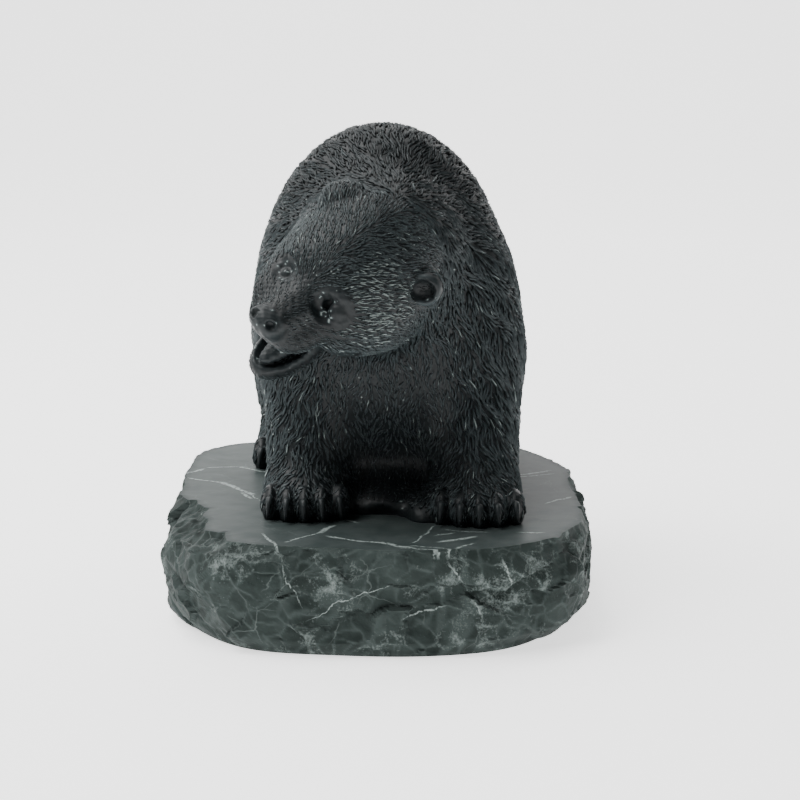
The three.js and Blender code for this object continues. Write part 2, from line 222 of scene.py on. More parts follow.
def head_form():
    """The head in its own axes, from the point between the eyes."""
    f = Form()
    f.add(0, ball((0, 13, -4.5), (16.5, 15.5, 13.5)))
    f.add(6, ball((0, 23, -3.5), (15, 13, 11.5)))
    for side in SIDES:
        f.add(5, ball((side * 8.6, 7.5, -8.5), (8.8, 11.5, 8.8)))
        f.add(5, ball((side * 9.5, 15, -11), (9, 11, 10.5)))
    f.add(4, limb((0, 3, -4.4), (0, -10.5, -3.4), 7.6, 5.4))
    for side in SIDES:
        f.add(3, ball((side * 4.6, -6, -6), (5.2, 8, 3.8)))
    f.add(3, ball((-6.3, 4.8, 2.4), (4.8, 3.6, 2.8)))
    f.add(3, ball((6, 4.5, 2), (4.6, 3.4, 2.4)))
    f.add(1.2, ball((-0.2, -14, -1), (5, 3.2, 3.6)))
    f.add(2.5, limb((2.8, -11, -0.2), (4, -3.5, 0.1), 1.4, 1.6))
    f.add(4, ball((-8.6, -1.6, -4.6), (4.8, 7, 4.2)))
    for nostril in ((2.4, -15, 1.3), (-3, -15.3, 0.9)):
        f.carve(0.4, ball(nostril, (1.35, 1.2, 0.95)))
    jaw_half_width, lip_width = 6.7, 1.3
    f.add(5, limb((-0.6, 12, -15), (-1.3, 0, -18.6), 8, 5))
    f.add(2.5, ball((-0.9, -4.2, -20.6), (jaw_half_width, 12.2, 5.3)))
    f.carve(1, ball((0, -9, -12.2), (jaw_half_width + 3, 12.5, 3.4)))
    f.carve(0.7, ball((-0.9, -6, -17), (jaw_half_width - lip_width, 10, 3.4)))
    f.add(0.6, ball((-0.9, -5, -18), (3.1, 9.2, 2.3)))
    f.carve(0.5, limb((-0.9, -12, -15.9), (-0.9, -1, -15.7), 0.4, 0.5))
    # The right eye: a small ball in a shallow hollow, with a thin lid round it
    f.carve(1.2, ball((-8.4, -2, 2.4), (3.6, 3.1, 3)))
    f.add(0.4, ball((-7.5, -0.7, -0.8), (1.6, 1.6, 1.6)))
    f.add(0.8, ring((-7.7, -0.9, 0.3), (-0.35, -0.45, 0.82), 2.7, 0.32))
    # The left eye: a larger hollow under the brow, the ball deep in its outer part, a pit beside it
    f.carve(1, ball((8, -2.1, 2.5), (4.9, 3.3, 4.2)))
    f.add(0.5, ball((8.8, 1.6, -1), (3.4, 3, 3.2)))
    f.carve(0.4, ball((6, 0.5, 0), (1.3, 1.9, 1.3)))
    # The left ear: a cup with a thin rim. The right one lies back in the fur.
    f.add(1.5, ball((16.8, 23.6, -1.3), (3.9, 3.8, 4.1)))
    f.add(0.5, ring(EAR_MIDDLE, EAR_FACING, EAR_RADIUS, 0.65))
    f.carve(0.4, ball(EAR_MIDDLE + 1.9 * EAR_FACING, (3.2, 3.2, 3.2)))
    f.add(2, ball((-14.6, 23, 2.4), (4.4, 4, 4)))
    return f


BODY, HEAD = body_form(), head_form()


def bear_distance(p):
    """Distance to the whole bear's skin, negative inside."""
    body = BODY.distance(p)
    head = HEAD.distance(to_head(p))
    return np.maximum(blended_low(body, head, HEAD_BLEND), -SOLE_DEPTH - p[..., 2])


def in_chunks(function, p, size=200000):
    return np.concatenate([function(p[n:n + size]) for n in range(0, len(p), size)])


def slope(p):
    """The direction in which the distance grows, by differences over a twentieth of a millimetre."""
    h = 0.05
    steps = [h * e for e in np.eye(3)]
    g = np.stack([bear_distance(p + s) - bear_distance(p - s) for s in steps], -1)
    return g / (2 * h)


def onto_skin(p, passes=2, reach=1.0):
    """Moves points along the slope until the distance is zero. Returns them and the skin's normals."""
    for _ in range(passes):
        g = slope(p)
        gg = np.maximum((g * g).sum(-1), 0.25)
        p = p - (np.clip(bear_distance(p), -reach, reach) / gg)[:, None] * g
    g = slope(p)
    return p, g / np.maximum(np.linalg.norm(g, axis=-1, keepdims=True), 1e-6)


def grid_lines(low, high, step_at):
    lines = [low]
    while lines[-1] < high:
        lines.append(lines[-1] + step_at(lines[-1]))
    return np.array(lines)


BLOCK = 6  # grid lines in a block that is looked at as a whole first


def near_values(distance, grid):
    """The distance at each grid point. Blocks whose middle is much further from the skin than from
    their own corners keep the middle's value throughout."""
    shape = grid.shape[:3]
    starts = [np.arange(0, n, BLOCK) for n in shape]
    ends = [np.minimum(s + BLOCK, n) - 1 for s, n in zip(starts, shape)]
    first = grid[np.ix_(*starts)]
    last = grid[np.ix_(*ends)]
    middle = in_chunks(distance, ((first + last) / 2).reshape(-1, 3)).reshape(first.shape[:3])
    near = np.abs(middle) < 1.6 * np.linalg.norm(last - first, axis=-1) / 2 + 1.5
    for axis in range(3):
        middle, near = np.repeat(middle, BLOCK, axis), np.repeat(near, BLOCK, axis)
    cut = tuple(slice(0, n) for n in shape)
    values, near = middle[cut].copy(), near[cut]
    values[near] = in_chunks(distance, grid[near])
    return values


def skin_of(distance, xs, ys, zs):
    """The zero surface on a grid of cells: one point in each cell that the surface crosses, at the
    mean of the crossings on its edges, and a four-sided face round each grid edge that it crosses."""
    grid = np.stack(np.meshgrid(xs, ys, zs, indexing="ij"), -1)
    values = near_values(distance, grid)
    inside = values < 0
    cell_shape = tuple(n - 1 for n in values.shape)
    total = np.zeros(cell_shape + (3,))
    count = np.zeros(cell_shape)
    crossings = []
    for axis in range(3):
        low = [slice(None)] * 3
        high = [slice(None)] * 3
        low[axis], high[axis] = slice(None, -1), slice(1, None)
        a, b = values[tuple(low)], values[tuple(high)]
        crosses = inside[tuple(low)] != inside[tuple(high)]
        t = np.where(crosses, a / np.where(crosses, a - b, 1), 0)[..., None]
        place = grid[tuple(low)] + t * (grid[tuple(high)] - grid[tuple(low)])
        place = np.where(crosses[..., None], place, 0)
        u, v = [n for n in range(3) if n != axis]
        for du in (0, 1):
            for dv in (0, 1):
                part = [slice(None)] * 3
                part[u] = slice(du, values.shape[u] - 1 + du)
                part[v] = slice(dv, values.shape[v] - 1 + dv)
                total += place[tuple(part)]
                count += crosses[tuple(part)]
        crossings.append((axis, crosses, inside[tuple(low)]))
    used = count > 0
    number = np.full(cell_shape, -1)
    number[used] = np.arange(used.sum())
    points = total[used] / count[used][:, None]
    faces = []
    for axis, crosses, low_inside in crossings:
        i = np.argwhere(crosses)
        # The two other axes in turning order, so that the ring runs right-handed about the edge
        u, v = (axis + 1) % 3, (axis + 2) % 3
        i = i[(i[:, u] > 0) & (i[:, v] > 0)]
        i = i[(i[:, u] < values.shape[u] - 1) & (i[:, v] < values.shape[v] - 1)]
        corners = []
        for du, dv in ((0, 0), (-1, 0), (-1, -1), (0, -1)):
            j = i.copy()
            j[:, u] += du
            j[:, v] += dv
            corners.append(number[tuple(j.T)])
        corners = np.stack(corners, 1)
        out = low_inside[tuple(i.T)]
        faces.append(np.where(out[:, None], corners, corners[:, ::-1]))
    return points, np.concatenate(faces)


def evened(points, faces, passes):
    """Moves each point half way to the middle of its neighbours and back onto the skin, in passes."""
    ahead = np.roll(faces, -1, 1).ravel()
    here = faces.ravel()
    count = np.bincount(here, minlength=len(points))[:, None]
    for _ in range(passes):
        total = [np.bincount(here, points[ahead, a], len(points)) for a in range(3)]
        mean = np.stack(total, -1) / count
        points, normals = onto_skin(points + 0.5 * (mean - points), passes=1)
    return points, normals


# Fur

FUR_PART = np.array((3.0, -40.0, 78.5))  # where the strokes part on the nape


def smooth_step(low, high, v):
    t = np.clip((v - low) / (high - low), 0, 1)
    return t * t * (3 - 2 * t)


def head_share(p):
    """1 on the head, 0 on the body, by which of the two forms is nearer."""
    return smooth_step(-1.5, 2.5, BODY.distance(p) - HEAD.distance(to_head(p)))


def waver(p):
    """A smooth turn of up to about a third of a right angle that changes over some 8 mm, so that the
    strokes gather in clumps: a sum of three sines along different lines."""
    lines = np.array(((0.55, 0.32, 0.41), (-0.38, 0.61, 0.47), (0.83, -0.57, 0.9)))
    return np.sin(p @ lines.T + (0.3, 1.9, 4.1)) @ (0.26, 0.22, 0.16)


def combing(p, n):
    """The way the fur lies. On the head it runs back and outwards from the middle line, then down
    over the cheeks. On the body it spreads from the part on the nape and turns down the sides and
    legs. The result lies in the skin."""
    q = to_head(p)
    outward = q[:, 0] / (np.abs(q[:, 0]) + 2.5)
    low = smooth_step(2, -14, q[:, 2])
    head = np.stack([1.15 * outward, 1.0 - 0.55 * low, -0.75 * low], -1) @ HEAD_AXES.T
    away = p - FUR_PART
    away /= np.linalg.norm(away, axis=-1, keepdims=True) + 1e-6
    down = smooth_step(88, 42, p[:, 2])[:, None]
    body = away + down * np.array((0, 0.1, -1.3)) + np.array((0, 0.35, 0))
    share = head_share(p)[:, None]
    flow = share * head + (1 - share) * body
    turn = waver(p)[:, None] * (1 - 0.6 * share)
    flow = flow * np.cos(turn) + np.cross(n, flow) * np.sin(turn)
    flow -= (flow * n).sum(-1, keepdims=True) * n
    return flow / np.maximum(np.linalg.norm(flow, axis=-1, keepdims=True), 1e-6)


def egg(q, centre, radii):
    """How far out a point is from an egg's centre, as a share of its radii."""
    return np.sqrt((((q - centre) / radii) ** 2).sum(-1))


def bald(p):
    """1 where the stone is smooth: nose, lips, mouth, eyes, the ear's rim, claws and soles. 0 where
    there is fur."""
    q = to_head(p)
    nose = smooth_step(1.15, 0.9, egg(q, (-0.3, -15, -1), (6.2, 4.6, 5)))
    left_eye = smooth_step(1.1, 0.9, egg(q, (7.6, -0.4, 1), (5.2, 4.6, 5.4)))
    right_eye = smooth_step(1.1, 0.9, egg(q, (-7.8, -0.9, 0.6), (3.7, 3.4, 3.4)))
    mouth = smooth_step(-8.4, -9.6, q[:, 2]) * smooth_step(-20, -18.8, q[:, 2])
    mouth *= smooth_step(3.5, 0.5, q[:, 1])
    ear = smooth_step(1.3, 1.0, EAR_RIM(q))
    face = head_share(p) * np.maximum.reduce([nose, left_eye, right_eye, mouth, ear])
    toes = smooth_step(4.6, 3.2, p[:, 2])
    return np.clip(np.maximum(face, toes), 0, 1)


def fur_size(p):
    """How large the strokes are: 1 on the back and sides, smaller on the head, smallest on the muzzle
    and round the eyes, and shallow between the legs and on the toes."""
    q = to_head(p)
    share = head_share(p)
    muzzle = smooth_step(1.5, 0.75, egg(q, (0, -10, -4), (11, 16, 11)))
    ear = smooth_step(1.2, 0.8, egg(q, EAR_MIDDLE, (5, 4, 5)))
    jaw = smooth_step(4, 0, q[:, 1]) * smooth_step(-14, -18, q[:, 2])
    head = 0.62 - 0.3 * np.maximum.reduce([muzzle, ear, jaw])
    between = smooth_step(20, 14, np.abs(p[:, 0] - 1.5)) * smooth_step(52, 36, p[:, 2])
    between *= smooth_step(40, 30, np.abs(p[:, 1] + 6))
    body = 1 - 0.38 * between - 0.3 * smooth_step(22, 8, p[:, 2])
    return share * head + (1 - share) * body


def painted_crest_light(p, rng):
    """How strong the painted highlight on each stroke's crest is: most on the head, less on top of the
    back, a little more low on the legs, and little in the ear's cup, as painted shade. Above 1 it is a
    painted glint, which many strokes between the left eye and the ear are."""
    q = to_head(p)
    share = head_share(p)
    body = 1 - 0.45 * smooth_step(55, 95, p[:, 2]) + 0.15 * smooth_step(40, 25, p[:, 2])
    dish = smooth_step(3.6, 2.8, np.linalg.norm(q - EAR_MIDDLE, axis=-1))
    cheek = share * smooth_step(1.2, 0.6, egg(q, (13, 9, 1), (8, 12, 11)))
    glint = rng.random(len(p)) < (0.02 + 0.45 * cheek) * (1 - dish)
    return share * (1.2 - 0.9 * dish) + (1 - share) * body + 0.65 * glint


def thinned(p, radius, rng):
    """Keeps points that stay a radius apart. A point is kept if it has the highest number drawn in
    its block and in the blocks round it."""
    kept = np.zeros((0, 3))
    for _ in range(4):
        if len(kept):
            p = p[nearest_gap(p, kept, radius) > radius]
        if not len(p):
            break
        draw = rng.random(len(p))
        cell = np.floor(p / radius).astype(np.int64)
        order = np.lexsort((draw, key_of(cell)))
        keys = key_of(cell)[order]
        last = np.r_[keys[1:] != keys[:-1], True]
        p, draw = p[order][last], draw[order][last]
        cell, keys = cell[order][last], keys[last]
        alive = np.ones(len(p), bool)
        for offset in np.ndindex(3, 3, 3):
            if offset == (1, 1, 1):
                continue
            other = key_of(cell + np.array(offset) - 1)
            at = np.clip(np.searchsorted(keys, other), 0, len(keys) - 1)
            near = (keys[at] == other) & (np.linalg.norm(p - p[at], axis=-1) < radius)
            alive &= ~(near & (draw[at] > draw))
        kept = np.concatenate([kept, p[alive]])
        p = p[~alive]
    return kept


def key_of(cell):
    return ((cell[:, 0] + 512) << 22) + ((cell[:, 1] + 512) << 11) + (cell[:, 2] + 512)


def nearest_gap(p, kept, radius):
    """How far each point is from the nearest kept one, or twice the radius where none is near."""
    cell = np.floor(kept / radius).astype(np.int64)
    keys = key_of(cell)
    order = np.argsort(keys)
    keys, kept = keys[order], kept[order]
    own = np.floor(p / radius).astype(np.int64)
    gap = np.full(len(p), 2 * radius)
    for offset in np.ndindex(3, 3, 3):
        other = key_of(own + np.array(offset) - 1)
        at = np.clip(np.searchsorted(keys, other), 0, len(keys) - 1)
        for extra in (0, 1, 2):
            n = np.clip(at + extra, 0, len(keys) - 1)
            same = keys[n] == other
            gap = np.where(same, np.minimum(gap, np.linalg.norm(p - kept[n], axis=-1)), gap)
    return gap


def scattered(points, faces, count, rng):
    """Points scattered evenly by area over the four-sided faces."""
    a, b, c, d = (points[faces[:, n]] for n in range(4))
    area = np.linalg.norm(np.cross(c - a, d - b), axis=-1)
    pick = rng.choice(len(faces), count, p=area / area.sum())
    u, v = rng.random((2, count, 1))
    return (a[pick] * (1 - u) + b[pick] * u) * (1 - v) + (d[pick] * (1 - u) + c[pick] * u) * v


LOCK_STATIONS = (0.0, 0.3, 0.72, 1.0)  # shares of a lock's length
LOCK_WIDTHS = (0.0, 1.0, 0.8, 0.0)
LOCK_HEIGHTS = (0.0, 0.75, 1.0, 0.35)
LOCK_SINK = 0.15  # how deep a lock's underside lies in the skin, in millimetres


def fur_locks(roots, length, width, height, rng):
    """A lock on each root: a pointed ridge along the way that the fur is combed, with a little bend.
    It is a closed shell of twelve triangles, with a three-cornered section at two stations and a
    point at each end."""
    count = len(roots)
    bend = rng.normal(0, 0.15, (2, count, 1))
    sections = []
    p, n = onto_skin(roots, passes=1)
    for k, station in enumerate(LOCK_STATIONS):
        flow = combing(p, n)
        turn = bend[0] + 4 * bend[1] * (station - 0.5)
        flow = flow * np.cos(turn) + np.cross(n, flow) * np.sin(turn)
        top = p + (LOCK_HEIGHTS[k] * height)[:, None] * n
        base = p - LOCK_SINK * n
        half = (LOCK_WIDTHS[k] * width / 2)[:, None] * np.cross(n, flow)
        sections.append((base - half, top, base + half))
        if k + 1 < len(LOCK_STATIONS):
            step = (LOCK_STATIONS[k + 1] - station) * length[:, None]
            p, n = onto_skin(p + step * flow, passes=1)
    root, lower, upper, tip = sections
    points = np.stack((root[0],) + lower + upper + (tip[1],), 1)
    # How much of the painted highlight each point takes: most on the crest, none along the base
    crest = np.broadcast_to((0, 0, 0.8, 0, 0, 1, 0, 0.5), points.shape[:2])
    faces = []
    for here, after in ((0, 1), (1, 2), (2, 0)):
        faces += [(0, 1 + here, 1 + after), (7, 4 + after, 4 + here)]
        faces += [(1 + here, 4 + here, 1 + after), (1 + after, 4 + here, 4 + after)]
    faces = np.array(faces)[None] + (np.arange(count) * points.shape[1])[:, None, None]
    return points.reshape(-1, 3), faces.reshape(-1, 3), crest.ravel()


# Claws

CLAW_LENGTH = 5.6
CLAW_RADIUS = 1.0
CLAW_SIDES = 10
CLAW_RINGS = 7


def claws():
    """A claw on each toe: rings round a line that leaves the toe forwards and bends down to the slab
    in a quarter turn, thinning towards a blunt point."""
    points, faces = [], []
    t = np.linspace(0, 1, CLAW_RINGS)[:, None]
    around = np.linspace(0, 2 * np.pi, CLAW_SIDES, endpoint=False)
    here = np.arange(CLAW_SIDES)
    after = np.roll(here, -1)
    for paw in PAWS:
        for i in range(TOES):
            x, y, spread = toe_centre(paw, i)
            turn = t * np.pi / 2
            reach, drop = 2.2 * np.sin(turn), (CLAW_LENGTH - 0.8) * (1 - np.cos(turn))
            line = np.hstack((x + 0.6 * spread * t, y - 3.7 - reach, 5.6 - drop))
            along = np.gradient(line, axis=0)
            along /= np.linalg.norm(along, axis=1, keepdims=True)
            side = np.broadcast_to((1.0, 0, 0), line.shape)
            up = np.cross(side, along)
            radius = CLAW_RADIUS * (1 - 0.75 * t ** 1.5)
            across, over = np.cos(around)[None, :, None], np.sin(around)[None, :, None]
            circle = across * side[:, None] + over * up[:, None]
            shell = line[:, None] + radius[:, :, None] * circle
            start = sum(len(p) for p in points)
            points += [shell.reshape(-1, 3), line[:1], line[-1:]]
            for k in range(CLAW_RINGS - 1):
                low, high = start + k * CLAW_SIDES, start + (k + 1) * CLAW_SIDES
                faces.append(np.stack((low + here, high + here, low + after), 1))
                faces.append(np.stack((low + after, high + here, high + after), 1))
            root, tip = start + CLAW_RINGS * CLAW_SIDES, start + CLAW_RINGS * CLAW_SIDES + 1
            low, high = start, start + (CLAW_RINGS - 1) * CLAW_SIDES
            faces.append(np.stack((np.full(CLAW_SIDES, root), low + here, low + after), 1))
            faces.append(np.stack((np.full(CLAW_SIDES, tip), high + after, high + here), 1))
    return np.concatenate(points), np.concatenate(faces)


# Making Blender meshes

def mesh_piece(name, points_mm, faces, material, **values):
    """A mesh object with its place in its mesh, smooth shaded, with a number for each point under
    each extra name given."""
    mesh = bpy.data.meshes.new(name)
    points = np.asarray(points_mm, np.float32) * MM
    sides = faces.shape[1]
    mesh.vertices.add(len(points))
    mesh.vertices.foreach_set("co", points.ravel())
    mesh.loops.add(faces.size)
    mesh.loops.foreach_set("vertex_index", faces.astype(np.int32).ravel())
    mesh.polygons.add(len(faces))
    mesh.polygons.foreach_set("loop_start", np.arange(0, faces.size, sides, dtype=np.int32))
    mesh.update(calc_edges=True)
    mesh.validate()
    mesh.polygons.foreach_set("use_smooth", np.ones(len(mesh.polygons), bool))
    for key, value in values.items():
        layer = mesh.attributes.new(key, "FLOAT", "POINT")
        layer.data.foreach_set("value", np.asarray(value, np.float32).ravel())
    piece = bpy.data.objects.new(name, mesh)
    bpy.context.scene.collection.objects.link(piece)
    mesh.materials.append(material)
    return piece


def linear(hex_colour):
    """An sRGB colour such as "#2a3032" as linear red, green, blue and 1."""
    parts = [int(hex_colour[n:n + 2], 16) / 255 for n in (1, 3, 5)]
    return tuple(v / 12.92 if v <= 0.04045 else ((v + 0.055) / 1.055) ** 2.4 for v in parts) + (1,)


def node(tree, kind, settings=None, out=None, **inputs):
    """Adds a node with its settings, and its inputs as values or links. Returns the output named in
    out, or else the first one in use, for the next node to link to."""
    n = tree.nodes.new("ShaderNode" + kind)
    for key, value in (settings or {}).items():
        setattr(n, key, value)
    for key, value in inputs.items():
        socket = n.inputs[int(key[1:])] if key[0] == "_" else n.inputs[key.replace("_", " ")]
        if isinstance(value, bpy.types.NodeSocket):
            tree.links.new(value, socket)
        else:
            socket.default_value = value
    return n.outputs[out] if out else next(o for o in n.outputs if o.enabled)


# Settings for the nodes that do sums and mixes
MULTIPLY = {"operation": "MULTIPLY"}
SUBTRACT = {"operation": "SUBTRACT"}
MAXIMUM = {"operation": "MAXIMUM"}
OF_COLOURS = {"data_type": "RGBA"}


def new_material(name):
    material = bpy.data.materials.new(name)
    material.use_nodes = True
    tree = material.node_tree
    shader = tree.nodes["Principled BSDF"]
    return material, tree, shader


def pressed_shungite():
    """Black shungite powder pressed in a binder. The eye sees a satin, slightly blue-green black, with
    a painted highlight on the crests of the fur, painted glints, and a few white specks of stone dust
    left on it."""
    material, tree, shader = new_material("pressed_shungite")
    shader.inputs["IOR"].default_value = 1.5
    shader.inputs["Specular IOR Level"].default_value = 0.3
    place = node(tree, "TexCoord", out="Object")
    crest = node(tree, "Attribute", {"attribute_name": "crest"}, "Fac")
    grit = node(tree, "TexNoise", Vector=place, Scale=1 / (1.1 * MM), Detail=3.0)
    cloud = node(tree, "TexNoise", Vector=place, Scale=1 / (14 * MM), Detail=2.0)
    base = node(tree, "Mix", OF_COLOURS, _0=cloud, _6=linear("#0a0e0f"), _7=linear("#12191b"))
    # A crest over 1 is a painted glint: a highlight painted into the colour, as where a grain of stone
    # catches the light
    glint = node(tree, "MapRange", Value=crest, From_Min=1.0, From_Max=1.7)
    # Painted highlight: the crests of the fur are painted paler, as where they catch the light
    crest = node(tree, "MapRange", Value=crest, From_Min=0.2, From_Max=1.0)
    with_painted_highlight = node(tree, "Mix", OF_COLOURS, _0=crest, _6=base, _7=linear("#343d3f"))
    with_painted_highlight = node(tree, "Mix", OF_COLOURS, _0=glint, _6=with_painted_highlight, _7=linear("#9aa5a1"))
    # Dust: specks of a third of a millimetre, about one in a square of two millimetres, in places
    speck = node(tree, "TexVoronoi", Vector=place, Scale=1 / (2.1 * MM))
    speck = node(tree, "MapRange", Value=speck, From_Min=0.07, From_Max=0.13, To_Min=1.0,
                 To_Max=0.0)
    dusty = node(tree, "MapRange", Value=cloud, From_Min=0.53, From_Max=0.6)
    dust = node(tree, "Math", MULTIPLY, _0=speck, _1=dusty)
    colour = node(tree, "Mix", OF_COLOURS, _0=dust, _6=with_painted_highlight, _7=linear("#7d8582"))
    tree.links.new(colour, shader.inputs["Base Color"])
    rough = node(tree, "MapRange", Value=grit, From_Min=0.3, From_Max=0.7, To_Min=0.42, To_Max=0.6)
    tree.links.new(rough, shader.inputs["Roughness"])
    bump = node(tree, "Bump", Strength=0.4, Distance=0.1 * MM, Height=grit)
    tree.links.new(bump, shader.inputs["Normal"])
    return material


def vein(tree, place, start, end, dip, width):
    """1 on a thin sheet of quartz that cuts the stone through the line from start to end, and dips
    along dip. It is 0 away from the sheet, and further from the line's middle than its ends are."""
    start, end = np.array(start, float), np.array(end, float)
    normal = np.cross(end - start, dip)
    normal /= np.linalg.norm(normal)
    middle = (start + end) / 2
    reach = np.linalg.norm(end - start) / 2
    off = node(tree, "VectorMath", SUBTRACT, _0=place, _1=tuple(middle * MM))
    gap = node(tree, "VectorMath", {"operation": "DOT_PRODUCT"}, _0=off, _1=tuple(normal))
    far = node(tree, "VectorMath", {"operation": "LENGTH"}, _0=off)
    gap = node(tree, "Math", {"operation": "ABSOLUTE"}, _0=gap)
    line = node(tree, "MapRange", Value=gap, From_Min=0.3 * width * MM,
                From_Max=0.65 * width * MM, To_Min=1.0, To_Max=0.0)
    ends = node(tree, "MapRange", Value=far, From_Min=(reach - 1) * MM,
                From_Max=(reach + 1) * MM, To_Min=1.0, To_Max=0.0)
    return node(tree, "Math", MULTIPLY, _0=line, _1=ends)


def largest(tree, values):
    """The highest of some values at each place, as a chain of nodes."""
    total = values[0]
    for value in values[1:]:
        total = node(tree, "Math", MAXIMUM, _0=total, _1=value)
    return total


DOWN = (0.0, 0.1, 1.0)
INWARDS = (0.1, 1.0, 0.2)
TOP = 27.0
# The quartz veins that show on the top: the two ends in the slab's axes and the width, in
# millimetres. Their sheets go down into the stone.
TOP_VEINS = (
    ((-55, 19), (-50, 27), 1.0),
    ((-49, 29), (-38, 30), 0.7),
    ((-40, 30), (-31, 21), 0.8),
    ((-53, 14.5), (-42, 7.5), 0.7),
    ((-43, 8), (-33.5, -7), 1.4),
    ((-34, -6.5), (-30, -18), 0.5),
    ((-36.5, -5), (-33.5, -12), 1.0),
    ((-28, -53), (-23.5, -67), 0.7),
    ((-22, -61), (-13, -50.5), 0.6),
    ((-14, -52), (-11, -44), 1.3),
    ((-8, -37.5), (-5, -40.5), 0.9),
    ((-12, -55.5), (-3, -61), 0.9),
    ((-4, -60), (3, -62.5), 0.8),
    ((0, -61.5), (9, -67.5), 1.3),
    ((6, -67.5), (18, -71), 0.6),
    ((9, -65), (19, -70), 0.5),
    ((8.5, -62), (14.5, -45), 0.45),
    ((14.5, -54.5), (19, -51.5), 0.9),
    ((15, -61.5), (24, -56), 1.3),
    ((19, -68), (23, -63), 0.8),
    ((17, -48.5), (27, -51), 0.5),
    ((35, -51.5), (41, -51.5), 0.6),
    ((39, 19), (48, 24.5), 0.9),
    ((39, 16), (48, 20), 0.5),
    ((44, -18), (51, -10.5), 0.9),
)
# Those on the front of the side. Their sheets go inwards.
FRONT_VEINS = (
    ((-24, -72, 27), (-22.4, -72, 19.5), 0.3),
    ((-22.6, -72, 21), (-18, -72, 12.5), 0.25),
    ((-16, -72, 9.5), (-8, -72, 14.8), 0.2),
    ((-9, -72, 14), (3.5, -72, 18.2), 0.2),
    ((16.5, -72, 24), (21, -72, 16.5), 0.4),
    ((20.5, -72, 17.5), (26, -72, 8.5), 0.5),
    ((34.7, -72, 28), (34.7, -72, 24.5), 0.4),
    ((29.5, -72, 25), (33.5, -72, 14), 0.5),
    ((35, -72, 25.5), (39.5, -72, 14), 0.5),
    ((48.5, -66, 25), (47.5, -66, 9), 0.7),
    ((6.5, -72, 9.5), (17, -72, 12.5), 0.3),
)
# Where the broken side is whitish with crushed quartz: angle round the slab in degrees, height and
# radius in millimetres, strength
GRAIN_PATCHES = (
    (241, 22, 7, 1.0), (262, 18, 6, 0.9), (296, 16, 9, 1.0), (305, 21, 6, 1.0), (258, 4, 4, 0.9),
    (272, 4.5, 4, 0.7), (288, 21, 6, 0.7), (294, 7, 7, 0.8), (287, 5, 4, 0.8), (247, 25, 5, 0.8),
    (279, 15, 5, 0.5), (322, 15, 10, 0.9), (345, 12, 9, 0.6), (212, 14, 9, 0.7), (185, 17, 9, 0.6),
    (150, 12, 10, 0.6), (110, 17, 11, 0.7), (80, 10, 9, 0.6), (48, 16, 11, 0.8), (15, 18, 9, 0.6),
)


